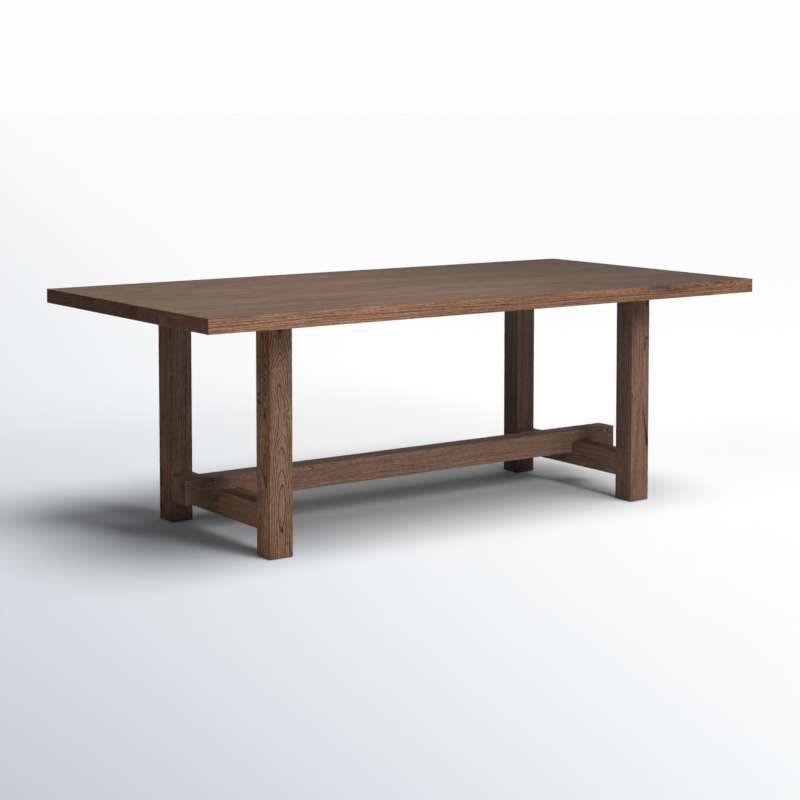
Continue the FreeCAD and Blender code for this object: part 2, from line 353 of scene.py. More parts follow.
# Turns that carry a piece's own length, width and depth to X, Y and Z of the pattern
GRAIN_TURN = {
    "X": Matrix(((1, 0, 0), (0, 1, 0), (0, 0, 1))).to_euler(),
    "Y": Matrix(((0, 0, 1), (1, 0, 0), (0, 1, 0))).to_euler(),
    "Z": Matrix(((0, 1, 0), (0, 0, 1), (1, 0, 0))).to_euler(),
}

# The two stain colours between which the wood goes, and the shades that its parts multiply them by. Some
# shades are painted shade and painted light.
STAIN_LIGHT = (0.370, 0.226, 0.154)
STAIN_DARK = (0.269, 0.162, 0.109)
STAIN_RED = (1.06, 0.96, 0.91)
LINE_DARK = (0.18, 0.15, 0.13)
STREAK_DARK = (0.66, 0.63, 0.61)
FINE_DARK = (0.84, 0.83, 0.82)
FLECK_DARK = (0.78, 0.76, 0.75)
PORE_DARK = (0.45, 0.42, 0.40)
KNOT_DARK = (0.24, 0.24, 0.26)
KNOT_GREY = (0.50, 0.58, 0.82)
# Darker: for dark streaks and spots of the wood, and for painted shade
DEEPER_STAIN_AND_PAINTED_SHADE = (0.70, 0.69, 0.68)
REDDER = (1.22, 1.06, 1.02)
# Painted light, where a face is to look more lit
PAINTED_LIGHT = (1.28, 1.31, 1.33)
END_DARK = (0.51, 0.465, 0.43)
ARRIS_LIGHT = (1.25, 1.22, 1.20)
# Painted shade on the top face of the slab
PAINTED_TOP_SHADE = (0.653, 0.674, 0.658)
# Painted shade that deepens towards the right end of the top
PAINTED_SHADE_RIGHT = (0.57, 0.53, 0.47)
BAND_SHARE = 0.55
RED_SHARE = 0.8
ARRIS_SHARE = 0.7
ARRIS_WIDTH = 0.003
# Where along the top the painted shade of its right side starts and ends, and how much of it its edges share
RIGHTWARD = (-0.15, 0.85)
EDGE_SHARE = 0.4
# The grey that the wood throws on the floor and on itself, so that its shadow stays neutral
THROWN_LIGHT = (0.10, 0.10, 0.10)

RING_HABIT = {"Ring_Width": 0.0044, "Outer_Radius": 2.0, "Wander": 0.03, "Waviness": 0.008, "Ripple": 0.0016,
              "Crowding": 1.6, "Line_Share": 0.5, "Faintest": 0.2}
# The width, in metres, that a curve from 0 to 1 stands for
PITH_ROOM = 0.2
# The noise by which the stain of a mark takes unevenly, and how much of it is left where it takes least
TEAR = (70.0, 260.0, 260.0)
TEAR_SHIFT = (1.0, 4.0, 2.0)
TEAR_LIMITS = (0.3, 0.55)
LEAST_STAIN = 0.5
# The power that widens a knot's swell to its swirl
SWIRL_POWER = 0.4
# The parts of the normal between which a face goes from looking elsewhere to looking along an axis
SQUARE_LIMITS = (0.6, 0.9)

# The roughness of the lacquer in and between streaks, and what pores and end grain add to it
ROUGH_DULL = 0.54
ROUGH_SMOOTH = 0.46
PORE_ROUGHER = 0.25
END_ROUGHER = 0.15
PORE_DEPTH = 0.0003
RELIEF_STRENGTH = 0.5
LINE_TO_PORE_DEPTH = 0.4


def corners(node):
    """The box of a node as two vectors."""
    low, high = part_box(node)
    return Vector(low), Vector(high)


def bent_pith(bench, place, stops, low, high):
    """The place of a pith across and in depth, as smooth curves through stops along the piece."""
    length = high - low
    share = bench.math("MULTIPLY_ADD", bench.split(place)[0], 1.0 / length, 0.5)
    sides = []
    for side in (1, 2):
        points = [((stop[0] - low) / length, 0.5 + stop[side] / PITH_ROOM) for stop in stops]
        sides.append(bench.math("MULTIPLY_ADD", bench.curve(share, points), PITH_ROOM, -PITH_ROOM / 2))
    return sides


def what_marks_do(bench, place, marks):
    """The push of the marks on the rings, the swirl that keeps lines wide round knots, and the stains.

    A mark is a swell with a centre, a size, the distance by which it pushes the rings, its strength and its
    shade. One without strength pushes but leaves no stain. One with strength that pushes outwards is a knot,
    and has a swirl. Some marks are not stains but painted shade and painted light.
    """
    push, swirl, stains_and_painted_light = 0.0, 0.0, []
    torn = bench.ramp(bench.noise(place, TEAR, TEAR_SHIFT, 3.0), *TEAR_LIMITS, LEAST_STAIN, 1.0)
    for centre, size, shove, strength, shade in marks:
        swell = bench.group(SWELL, Place=place, Centre=centre, Size=size)["Swell"]
        push = bench.math("MULTIPLY_ADD", swell, shove, push)
        if strength > 0.0:
            stain = bench.math("MULTIPLY", bench.math("MULTIPLY", swell, torn), strength, clamp=True)
            stains_and_painted_light.append((stain, shade))
            if shove > 0.0:
                wide = bench.math("MULTIPLY", bench.math("POWER", swell, SWIRL_POWER), min(strength, 1.0))
                swirl = bench.math("MAXIMUM", wide, swirl)
    return push, swirl, stains_and_painted_light


def stain_colour(bench, tint, figure, rings, fibres):
    """Between the dark and the light stain by bands and clouds, redder in places, darkened by the figure."""
    dark, light = (
        opaque(part * share for part, share in zip(stain, tint)) for stain in (STAIN_DARK, STAIN_LIGHT)
    )
    clouds = bench.math("MULTIPLY", fibres["Cloud"], 1.0 - BAND_SHARE)
    colour = bench.mix(bench.math("MULTIPLY_ADD", rings["Band"], BAND_SHARE, clouds), dark, light)
    colour = bench.shaded(colour, bench.math("MULTIPLY", fibres["Hue"], RED_SHARE), STAIN_RED)
    drawn, streaked = figure
    for amount, strength, shade in (
        (bench.math("SUBTRACT", 1.0, fibres["Streak"]), streaked, STREAK_DARK),
        (bench.math("SUBTRACT", 1.0, rings["Fine"]), streaked, FINE_DARK),
        (rings["Line"], drawn, LINE_DARK),
        (fibres["Fleck"], drawn, FLECK_DARK),
        (fibres["Pore"], drawn, PORE_DARK),
    ):
        colour = bench.shaded(colour, bench.math("MULTIPLY", amount, strength, clamp=True), shade)
    return colour


def square_to(bench, part):
    """From a part of the normal: one on the faces that look along its axis, and nothing on the others."""
    return bench.ramp(part, *SQUARE_LIMITS)


def stained_oak(node, grain, seed, tint, pith, figure=(1.0, 1.0), habit=None, marks=(), flank=PLAIN,
                ends=PLAIN, slab=None, sheen=0.02):
    """Brown stained oak under satin lacquer, for a node with its grain along one axis.

    The pith is its place across and in depth from the piece's centre, or a list of stops along the piece. The
    figure says how strongly the lines, flecks and pores show, and how strongly the streaks and fine lines.
    The flank is the shade of the two faces across: partly their own stain, which takes differently from the
    front and the back, and partly painted light and painted shade on them. The ends take the stain
    differently too, each piece by a shade of its own. A board of the slab is worn along the slab's arrises
    alone, has painted shade on its top face, and painted shade that deepens to the right on its top and less
    on its edges. The sheen says how much the lacquer mirrors. Light that the wood throws on other things is
    grey.
    """
    material, bench, shader = new_material("oak_" + node)
    source = bench.tree.nodes.new("ShaderNodeTexCoord").outputs
    low, high = corners(node)
    place = bench.turned(source["Object"], (low + high) / 2, GRAIN_TURN[grain])
    facing = bench.turned(source["Normal"], (0.0, 0.0, 0.0), GRAIN_TURN[grain])
    end_grain, beside = (
        square_to(bench, bench.math("ABSOLUTE", part)) for part in bench.split(facing)[:2]
    )

    push, swirl, stains_and_painted_light = what_marks_do(bench, place, marks)
    if isinstance(pith, list):
        axis = "XYZ".index(grain)
        pith = bent_pith(bench, place, pith, low[axis], high[axis])
    across, depth = pith
    rings = bench.group(RINGS, Place=place, Facing=facing, Pith_Across=across, Pith_Depth=depth, Push=push,
                        Swirl=swirl, Seed=seed, **{**RING_HABIT, **(habit or {})})
    fibres = bench.group(GRAIN, Place=place, Line=rings["Line"], Seed=seed)
    worn_low, worn_high = slab or (low, high)
    off_centre = bench.vector("SUBTRACT", source["Object"], (worn_low + worn_high) / 2)
    half_size = (worn_high - worn_low) / 2
    arris = bench.group(ARRIS, Place=off_centre, Half_Size=half_size, Width=ARRIS_WIDTH)["Arris"]

    colour = stain_colour(bench, tint, figure, rings, fibres)
    colour = bench.shaded(colour, end_grain, [part * share for part, share in zip(END_DARK, ends)])
    # Stains of knots and patches, and the painted shade and painted light of the marks
    for stain, shade in stains_and_painted_light:
        colour = bench.shaded(colour, stain, shade)
    # The faces across: partly their own stain, partly painted light and painted shade
    colour = bench.shaded(colour, beside, flank)
    # Painted shade on the top face, and painted shade that deepens to the right on the top and its edges
    if slab:
        above = square_to(bench, bench.split(source["Normal"])[2])
        rightward = bench.ramp(bench.split(place)[0], *RIGHTWARD)
        colour = bench.shaded(colour, above, PAINTED_TOP_SHADE)
        painted_shade_mask = bench.math("MAXIMUM", above, bench.math("MULTIPLY", beside, EDGE_SHARE))
        colour = bench.shaded(colour, bench.math("MULTIPLY", painted_shade_mask, rightward), PAINTED_SHADE_RIGHT)
    colour = bench.shaded(colour, bench.math("MULTIPLY", arris, ARRIS_SHARE), ARRIS_LIGHT)
    bounced = bench.tree.nodes.new("ShaderNodeLightPath").outputs["Is Diffuse Ray"]
    bench.wire(bench.mix(bounced, colour, opaque(THROWN_LIGHT)), shader.inputs["Base Color"])

    rough = bench.ramp(fibres["Streak"], 0.0, 1.0, ROUGH_DULL, ROUGH_SMOOTH)
    rough = bench.math("MULTIPLY_ADD", fibres["Pore"], PORE_ROUGHER, rough)
    bench.wire(bench.math("MULTIPLY_ADD", end_grain, END_ROUGHER, rough), shader.inputs["Roughness"])
    shader.inputs["Specular IOR Level"].default_value = sheen
    pores = bench.math("MULTIPLY", fibres["Pore"], -1.0)
    dents = bench.math("MULTIPLY_ADD", rings["Line"], -LINE_TO_PORE_DEPTH, pores)
    bench.relief(shader, dents, PORE_DEPTH, RELIEF_STRENGTH)
    return material


def finish_node(node, material):
    """Gives a node of the frame a new material in each of its slots."""
    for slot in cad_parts[node].material_slots:
        slot.material = material


# The marks of each board: centre along, across and in depth from the board's centre; size; push on the rings;
# strength; shade. The first board has the grey patch and the swirl near the right end of the front edge.
BOARDS = {
    "top_board_1": dict(
        seed=3.1, tint=(1.00, 0.95, 0.92), pith=(0.030, -0.110), ends=(1.17, 1.16, 1.24),
        # The flank is partly this board's own stain and partly painted light on its front edge
        flank=(1.13, 1.08, 1.05), habit={"Faintest": 0.45, "Crowding": 1.0},
        marks=(
            # Painted shade along the middle of the front edge
            ((0.060, -0.080, 0.000), (0.330, 0.010, 0.060), 0.000, 1.0, DEEPER_STAIN_AND_PAINTED_SHADE),
            ((0.650, -0.080, 0.026), (0.075, 0.012, 0.018), 0.016, 1.5, KNOT_GREY),
            ((0.690, -0.080, 0.004), (0.070, 0.012, 0.005), 0.000, 0.9, KNOT_DARK),
            ((0.790, -0.080, 0.011), (0.060, 0.012, 0.004), 0.000, 0.8, KNOT_DARK),
            ((0.880, -0.080, 0.018), (0.060, 0.012, 0.003), 0.000, 0.6, KNOT_DARK),
            ((0.910, -0.080, 0.001), (0.085, 0.050, 0.020), 0.024, 1.0, PLAIN),
            ((1.055, -0.080, -0.012), (0.020, 0.050, 0.010), 0.006, 0.5, KNOT_DARK),
            ((-0.080, 0.010, 0.023), (0.300, 0.030, 0.020), 0.000, 0.8, REDDER),
        ),
    ),
    "top_board_2": dict(
        seed=11.7, tint=(1.05, 1.07, 1.08), pith=(-0.020, 0.140), ends=(1.16, 1.07, 1.01),
        marks=(
            ((0.480, -0.010, 0.023), (0.140, 0.055, 0.020), 0.000, 0.5, DEEPER_STAIN_AND_PAINTED_SHADE),
            ((-0.380, 0.025, 0.023), (0.200, 0.010, 0.020), 0.000, 0.7, DEEPER_STAIN_AND_PAINTED_SHADE),
            ((-0.250, -0.062, 0.023), (0.220, 0.006, 0.020), 0.000, 0.9, DEEPER_STAIN_AND_PAINTED_SHADE),
        ),
    ),
    "top_board_3": dict(
        seed=23.9, tint=(1.11, 1.08, 1.06), pith=(0.015, -0.160), ends=(0.77, 0.72, 0.67),
        marks=(
            ((-0.480, 0.004, 0.023), (0.380, 0.030, 0.020), 0.000, 1.0, REDDER),
            ((-0.160, 0.055, 0.023), (0.060, 0.007, 0.020), 0.000, 1.0, DEEPER_STAIN_AND_PAINTED_SHADE),
        ),
    ),
    "top_board_4": dict(
        seed=31.3, tint=(1.02, 1.01, 1.01), pith=(-0.050, -0.120), ends=(0.66, 0.60, 0.54),
    ),
    "top_board_5": dict(
        seed=47.5, tint=(1.08, 1.04, 1.01), pith=(0.035, 0.130), ends=(0.72, 0.68, 0.63),
        marks=(
            ((-0.535, 0.060, 0.023), (0.022, 0.009, 0.020), 0.004, 0.8, KNOT_DARK),
            ((-0.440, 0.066, 0.023), (0.045, 0.005, 0.020), 0.000, 0.8, DEEPER_STAIN_AND_PAINTED_SHADE),
            ((-0.120, 0.045, 0.023), (0.280, 0.028, 0.020), 0.000, 1.0, REDDER),
        ),
    ),
    "top_board_6": dict(
        seed=52.2, tint=(0.945, 0.89, 0.865), pith=(-0.010, -0.180), ends=(0.66, 0.61, 0.56),
        marks=(
            ((-0.900, 0.000, 0.023), (0.030, 0.020, 0.020), 0.000, 0.8, DEEPER_STAIN_AND_PAINTED_SHADE),
            ((-0.350, 0.030, 0.023), (0.050, 0.012, 0.020), 0.002, 0.8, DEEPER_STAIN_AND_PAINTED_SHADE),
            ((0.600, -0.010, 0.023), (0.030, 0.008, 0.020), 0.003, 0.6, DEEPER_STAIN_AND_PAINTED_SHADE),
        ),
    ),
    "top_board_7": dict(
        seed=68.8, tint=(0.95, 0.88, 0.815), pith=(0.040, 0.150), ends=(0.69, 0.67, 0.63),
    ),
    "top_board_8": dict(
        seed=74.4, tint=(0.89, 0.83, 0.78), pith=(0.000, -0.130), ends=(0.78, 0.75, 0.71),
    ),
}
# Painted shade at the left and right ends of the top and painted light left of its middle, over all boards
PAINTED_TOP_SHADE_AND_LIGHT = (
    ((-0.950, 0.000, 0.023), (0.250, 0.200, 0.015), 0.000, 0.2, DEEPER_STAIN_AND_PAINTED_SHADE),
    ((-0.250, 0.000, 0.023), (0.280, 0.200, 0.015), 0.000, 0.25, PAINTED_LIGHT),
    ((1.000, 0.000, 0.023), (0.150, 0.200, 0.015), 0.000, 0.35, DEEPER_STAIN_AND_PAINTED_SHADE),
)
TOP_SHEEN = 0.08

slab = (corners("top_board_1")[0], corners("top_board_8")[1])
for node, wood in BOARDS.items():
    marks = wood.pop("marks", ()) + PAINTED_TOP_SHADE_AND_LIGHT
    finish_node(node, stained_oak(node, "X", marks=marks, slab=slab, sheen=TOP_SHEEN, **wood))

# The legs
# Four square posts of the same stained oak, with their grain upright and their long arrises eased.
# They stand on glides and are glued round the tenons of the cross stretchers and the bearers.

# The pith of the front left leg, which gives it its row of pointed arches: height above the floor, then its
# place across and in depth from the leg's centre
ARCHED_PITH = [
    (0.002, -0.001, -0.0130),
    (0.091, -0.001, -0.0143),
    (0.155, 0.001, -0.0173),
    (0.221, 0.002, -0.0143),
    (0.266, 0.001, -0.0101),
    (0.334, 0.002, -0.0059),
    (0.369, 0.004, -0.0017),
    (0.450, 0.005, 0.0014),
    (0.529, -0.010, 0.0043),
    (0.566, -0.004, 0.0093),
    (0.598, -0.0035, 0.0143),
    (0.618, -0.0035, 0.0190),
    (0.7165, 0.000, 0.0270),
]
# The marks of each leg: centre up, to the right and to the back from the leg's centre; size; push on the
# rings; strength; shade. A mark at -0.040 to the right lies in the left face, one at -0.040 to the back in
# the front face. The flank of each leg is partly its own stain and partly painted light and shade on its
# left and right faces.
LEGS = {
    "leg_front_left": dict(
        seed=5.5, tint=(0.98, 1.00, 1.02), pith=ARCHED_PITH, figure=(1.25, 0.7), flank=(1.09, 1.02, 0.89),
        habit={"Ring_Width": 0.0042, "Wander": 0.0, "Waviness": 0.0008, "Crowding": 0.15, "Faintest": 0.7},
        marks=(
            # Painted shade high on the left face and painted light low on it
            ((0.230, -0.040, 0.000), (0.130, 0.020, 0.080), 0.000, 1.0, DEEPER_STAIN_AND_PAINTED_SHADE),
            ((-0.220, -0.040, 0.000), (0.120, 0.020, 0.080), 0.000, 0.9, PAINTED_LIGHT),
            # Painted light across the middle of the front face and painted shade low on it
            ((0.089, 0.000, -0.040), (0.050, 0.060, 0.020), 0.000, 1.0, PAINTED_LIGHT),
            ((-0.300, 0.000, -0.040), (0.120, 0.060, 0.020), 0.000, 0.45, DEEPER_STAIN_AND_PAINTED_SHADE),
            ((0.074, 0.018, -0.040), (0.014, 0.010, 0.030), 0.006, 0.4, KNOT_DARK),
            ((0.390, -0.003, -0.040), (0.200, 0.012, 0.030), -0.006, 0.0, PLAIN),
            ((0.327, -0.003, -0.040), (0.014, 0.012, 0.020), 0.000, 1.0, KNOT_DARK),
            ((0.250, -0.004, -0.040), (0.050, 0.020, 0.020), 0.0002, 0.4, PLAIN),
            ((0.241, -0.040, 0.010), (0.120, 0.030, 0.018), 0.021, 0.35, PLAIN),
            ((0.180, -0.040, 0.010), (0.200, 0.030, 0.030), 0.006, 0.0, PLAIN),
            ((-0.090, -0.040, 0.011), (0.010, 0.020, 0.004), 0.000, 1.1, KNOT_DARK),
            ((-0.103, -0.040, 0.003), (0.008, 0.020, 0.004), 0.000, 1.1, KNOT_DARK),
            ((-0.113, -0.040, -0.007), (0.005, 0.020, 0.007), 0.000, 1.1, KNOT_DARK),
            ((-0.119, -0.040, -0.022), (0.003, 0.020, 0.010), 0.000, 0.9, KNOT_DARK),
            ((-0.220, -0.040, 0.018), (0.060, 0.020, 0.012), 0.012, 0.4, KNOT_DARK),
        ),
    ),
    "leg_front_right": dict(
        seed=17.2, tint=(0.74, 0.76, 0.76), pith=(-0.030, 0.080), figure=(0.95, 0.8),
        flank=(1.04, 1.09, 1.19),
        marks=(
            # Painted shade high on the left face and painted light low on it
            ((0.220, -0.040, 0.000), (0.120, 0.020, 0.080), 0.000, 0.6, DEEPER_STAIN_AND_PAINTED_SHADE),
            ((-0.220, -0.040, 0.000), (0.120, 0.020, 0.080), 0.000, 0.6, PAINTED_LIGHT),
            # Painted shade near the top of the front face and painted light below it
            ((0.268, 0.000, -0.040), (0.040, 0.060, 0.020), 0.000, 0.5, DEEPER_STAIN_AND_PAINTED_SHADE),
            ((0.090, 0.000, -0.040), (0.090, 0.060, 0.020), 0.000, 0.35, PAINTED_LIGHT),
            ((0.165, 0.030, -0.040), (0.045, 0.010, 0.020), 0.006, 0.0, PLAIN),
            ((0.202, 0.029, -0.040), (0.006, 0.006, 0.020), 0.000, 1.2, KNOT_DARK),
            ((0.180, 0.020, -0.040), (0.022, 0.004, 0.020), 0.000, 1.2, KNOT_DARK),
            ((-0.050, 0.0150, -0.040), (0.024, 0.0025, 0.020), 0.000, 1.2, KNOT_DARK),
            ((-0.082, 0.0205, -0.040), (0.024, 0.0025, 0.020), 0.000, 1.5, KNOT_DARK),
            ((-0.112, 0.0260, -0.040), (0.022, 0.0025, 0.020), 0.000, 1.8, KNOT_DARK),
            ((-0.138, 0.0305, -0.040), (0.020, 0.0030, 0.020), 0.000, 2.0, KNOT_DARK),
            ((-0.158, 0.0340, -0.040), (0.016, 0.0045, 0.020), 0.003, 2.4, KNOT_DARK),
            ((-0.293, 0.038, -0.040), (0.012, 0.004, 0.020), 0.003, 1.0, KNOT_DARK),
            ((0.330, 0.028, -0.040), (0.020, 0.007, 0.020), 0.004, 1.0, KNOT_DARK),
            ((0.315, -0.014, -0.040), (0.045, 0.028, 0.020), 0.000, 1.1, DEEPER_STAIN_AND_PAINTED_SHADE),
        ),
    ),
    "leg_back_left": dict(
        seed=29.4, tint=(0.72, 0.83, 0.92), pith=(-0.075, 0.010), figure=(0.9, 0.8),
        flank=(0.91, 0.685, 0.535), habit={"Ripple": 0.005},
        marks=(
            # Painted shade high on the left face and painted light low on it
            ((0.260, -0.040, 0.000), (0.120, 0.020, 0.080), 0.000, 0.9, DEEPER_STAIN_AND_PAINTED_SHADE),
            ((-0.260, -0.040, 0.000), (0.140, 0.020, 0.080), 0.000, 0.7, PAINTED_LIGHT),
            # Painted shade on the front face just above the stretcher's height, and painted light above that
            # and at the foot
            ((-0.120, 0.000, -0.040), (0.045, 0.060, 0.020), 0.000, 0.7, DEEPER_STAIN_AND_PAINTED_SHADE),
            ((0.107, 0.000, -0.040), (0.060, 0.060, 0.020), 0.000, 0.35, PAINTED_LIGHT),
            ((-0.330, 0.000, -0.040), (0.040, 0.060, 0.020), 0.000, 0.9, PAINTED_LIGHT),
            ((0.060, -0.040, -0.010), (0.060, 0.020, 0.014), 0.010, 0.1, KNOT_DARK),
            ((-0.028, -0.040, 0.012), (0.016, 0.020, 0.004), 0.000, 0.7, KNOT_DARK),
            ((-0.078, -0.040, 0.029), (0.022, 0.020, 0.004), 0.000, 1.0, KNOT_DARK),
            ((-0.203, -0.040, 0.026), (0.030, 0.020, 0.012), 0.012, 0.8, KNOT_DARK),
            ((-0.240, -0.040, 0.027), (0.010, 0.020, 0.008), 0.000, 0.9, KNOT_DARK),
            ((-0.318, -0.040, 0.027), (0.014, 0.020, 0.010), 0.006, 0.9, KNOT_DARK),
        ),
    ),
    "leg_back_right": dict(
        seed=36.6, tint=(0.575, 0.645, 0.715), pith=(-0.050, 0.090), figure=(0.6, 0.6),
    ),
}
for node, wood in LEGS.items():
    finish_node(node, stained_oak(node, "Z", **wood))

# The low stretchers and the bearers
# Two cross stretchers tenoned into the legs, one long stretcher half-lapped over them, and two flat bearers
# that tie the tops of the legs and carry the slab. All are the same oak, with their grain along their length.

FINE_HABIT = {"Ring_Width": 0.0032, "Line_Share": 0.25, "Faintest": 0.0}
# The marks of the long stretcher: painted shadow darkens its ends and painted shade the place beside the
# right lap, two spots of its front are redder, and painted light makes its top paler
STRETCHER_MARKS = (
    # Painted shadow at both ends and painted shade beside the right lap
    ((-0.850, -0.040, 0.000), (0.120, 0.030, 0.080), 0.000, 1.2, DEEPER_STAIN_AND_PAINTED_SHADE),
    ((-0.850, -0.040, 0.030), (0.130, 0.030, 0.030), 0.000, 1.2, DEEPER_STAIN_AND_PAINTED_SHADE),
    ((0.850, -0.040, 0.000), (0.120, 0.030, 0.080), 0.000, 1.3, DEEPER_STAIN_AND_PAINTED_SHADE),
    ((0.860, -0.040, 0.000), (0.060, 0.030, 0.080), 0.000, 1.1, DEEPER_STAIN_AND_PAINTED_SHADE),
    ((0.655, -0.040, 0.010), (0.045, 0.030, 0.050), 0.000, 0.7, DEEPER_STAIN_AND_PAINTED_SHADE),
    ((0.330, -0.040, -0.025), (0.120, 0.030, 0.025), 0.000, 0.7, REDDER),
    ((0.060, -0.040, 0.015), (0.060, 0.030, 0.025), 0.000, 0.5, REDDER),
    # Painted light on the top
    ((0.000, 0.000, 0.040), (1.200, 0.100, 0.006), 0.000, 0.3, PAINTED_LIGHT),
)
BEARER_TINT = (0.80, 0.80, 0.80)
RAILS = {
    "cross_stretcher_left": dict(
        grain="Y", seed=81.3, tint=(0.805, 0.795, 0.79), pith=(0.020, 0.080), figure=(0.7, 0.7),
        habit=FINE_HABIT,
    ),
    "cross_stretcher_right": dict(
        grain="Y", seed=90.1, tint=(0.81, 0.88, 0.98), pith=(-0.030, 0.100), figure=(0.8, 0.8),
        habit=FINE_HABIT,
    ),
    "long_stretcher": dict(
        grain="X", seed=104.7, tint=(0.945, 1.00, 1.12), pith=(0.110, 0.030), figure=(1.0, 0.6),
        habit=FINE_HABIT, ends=(1.29, 1.44, 1.48), marks=STRETCHER_MARKS,
    ),
    "bearer_left": dict(grain="Y", seed=112.9, tint=BEARER_TINT, pith=(0.060, 0.040), figure=(0.8, 0.8)),
    "bearer_right": dict(grain="Y", seed=121.6, tint=BEARER_TINT, pith=(0.050, -0.050), figure=(0.8, 0.8)),
}
for node, wood in RAILS.items():
    finish_node(node, stained_oak(node, **wood))

# Bolts, washers and threaded inserts
# Zinc plated steel, dull and slightly streaked. Those of the top and the laps are sunk in from below. The
# screws of the glides are of the same steel.

ZINC_LIGHT = (0.62, 0.62, 0.60)
ZINC_DARK = (0.42, 0.42, 0.40)
ZINC_CLOUD = (90.0, 90.0, 90.0)
ZINC_SCRATCH = (2500.0, 2500.0, 300.0)
ZINC_ROUGH = (0.28, 0.50)
SCRATCH_DEPTH = 0.00005
SCRATCH_STRENGTH = 0.5
UNMOVED = (0.0, 0.0, 0.0)


def plated_steel():
    """Grey zinc with cloudy roughness and fine scratches."""
    material, bench, shader = new_material("zinc_plated_steel")
    shader.inputs["Metallic"].default_value = 1.0
    place = bench.tree.nodes.new("ShaderNodeTexCoord").outputs["Object"]
    cloud = bench.noise(place, ZINC_CLOUD, UNMOVED, 3.0)
    bench.wire(bench.mix(cloud, opaque(ZINC_DARK), opaque(ZINC_LIGHT)), shader.inputs["Base Color"])
    bench.wire(bench.ramp(cloud, *MIDDLE, *ZINC_ROUGH), shader.inputs["Roughness"])
    bench.relief(shader, bench.noise(place, ZINC_SCRATCH, UNMOVED), SCRATCH_DEPTH, SCRATCH_STRENGTH)
    return material


METAL_NODES = (
    "top_bolts", "top_washers", "top_inserts", "lap_bolts", "lap_washers", "lap_inserts", "glide_screws",
)
zinc = plated_steel()
for node in METAL_NODES:
    finish_node(node, zinc)

# Glides
# Round feet of dark moulded nylon, screwed into the legs, scuffed by the floor.

NYLON = (0.03, 0.026, 0.022)
SCUFFED = (0.10, 0.09, 0.08)
SCUFFS = (700.0, 300.0, 300.0)
SCUFF_LIMITS = (0.5, 0.7)
NYLON_ROUGH = (0.45, 0.70)
SCUFF_DEPTH = 0.0001
SCUFF_STRENGTH = 0.4


def scuffed_nylon():
    """Dark matt plastic with pale rubbed patches."""
    material, bench, shader = new_material("scuffed_nylon")
    place = bench.tree.nodes.new("ShaderNodeTexCoord").outputs["Object"]
    scuff = bench.ramp(bench.noise(place, SCUFFS, UNMOVED, 3.0), *SCUFF_LIMITS)
    bench.wire(bench.mix(scuff, opaque(NYLON), opaque(SCUFFED)), shader.inputs["Base Color"])
    bench.wire(bench.ramp(scuff, 0.0, 1.0, *NYLON_ROUGH), shader.inputs["Roughness"])
    bench.relief(shader, scuff, SCUFF_DEPTH, SCUFF_STRENGTH)
    return material


finish_node("foot_glides", scuffed_nylon())

# The light
# A broad soft source high in front, a round panel straight ahead of the middle, a weak one at the left and a
# soft sky that is brighter to the right. The sky looks white to the camera.

SUNS = [
    # name, height and side angle in degrees (0 is straight in front, 90 is from the right), width, and its
    # share of the light on the open floor
    ("high_panel", 68.0, 30.0, 40.0, 0.80),
    ("left_panel", 28.0, -84.0, 30.0, 0.05),
]
SUN_DISTANCE = 5.0
PALE = (0.982, 0.982, 0.982)
NEAR_PANEL_PLACE = Vector((0.22, -3.3, 2.2))
NEAR_PANEL_AIM = Vector((0.0, 0.0, 0.35))
NEAR_PANEL_WIDTH = 1.2
NEAR_PANEL_LEVEL = 0.44
SKY_LEFT = 0.03
SKY_RIGHT = 0.26
SKY_TURN = (-0.4, 0.5)
SKY_IN_GLOSS = 2.5


def soft_sun(name, height, side, width, share):
    """A distant lamp as wide as a studio panel looks from the object. At a share of 1 white looks white."""
    lamp = bpy.data.lights.new(name, "SUN")
    lamp.energy = share * math.pi / math.sin(math.radians(height))
    lamp.angle = math.radians(width)
    holder = bpy.data.objects.new(name, lamp)
    up, turn = math.radians(height), math.radians(side)
    towards = Vector((math.cos(up) * math.sin(turn), -math.cos(up) * math.cos(turn), math.sin(up)))
    holder.rotation_euler = towards.to_track_quat("Z", "Y").to_euler()
    holder.location = towards * SUN_DISTANCE
    bpy.context.scene.collection.objects.link(holder)


def near_panel():
    """A round lamp close to the object. At a level of 1 a white sheet at its aim, facing it, looks white."""
    lamp = bpy.data.lights.new("near_panel", "AREA")
    lamp.shape = "DISK"
    lamp.size = NEAR_PANEL_WIDTH
    back = NEAR_PANEL_PLACE - NEAR_PANEL_AIM
    lamp.energy = NEAR_PANEL_LEVEL * math.pi**2 * back.length_squared
    holder = bpy.data.objects.new("near_panel", lamp)
    holder.rotation_euler = back.to_track_quat("Z", "Y").to_euler()
    holder.location = NEAR_PANEL_PLACE
    holder.visible_camera = False
    bpy.context.scene.collection.objects.link(holder)


def studio_sky():
    """A sky whose light grows from left to right. Gloss and glass see it brighter, the camera plain white."""
    world = bpy.data.worlds.new("studio_sky")
    bpy.context.scene.world = world
    world.use_nodes = True
    bench = Bench(world.node_tree)
    background = world.node_tree.nodes["Background"]
    background.inputs["Color"].default_value = opaque(PALE)
    rays = bench.tree.nodes.new("ShaderNodeLightPath").outputs
    rightward = bench.split(bench.tree.nodes.new("ShaderNodeTexCoord").outputs["Generated"])[0]
    level = bench.ramp(rightward, *SKY_TURN, SKY_LEFT, SKY_RIGHT)
    gloss = bench.math("MAXIMUM", rays["Is Glossy Ray"], rays["Is Transmission Ray"])
    level = bench.math("MULTIPLY", level, bench.math("MULTIPLY_ADD", gloss, SKY_IN_GLOSS - 1.0, 1.0))
    bench.wire(bench.math("MAXIMUM", level, rays["Is Camera Ray"]), background.inputs["Strength"])


for sun in SUNS:
    soft_sun(*sun)
near_panel()
studio_sky()

# The studio floor
# A wide pale sheet that meets the sky without a line. Its colour is deeper near the near panel, so that it
# looks evenly white, and it darkens a little at the near left.

FLOOR_REACH = 400.0
FLOOR_BASE_LIGHT = 0.96
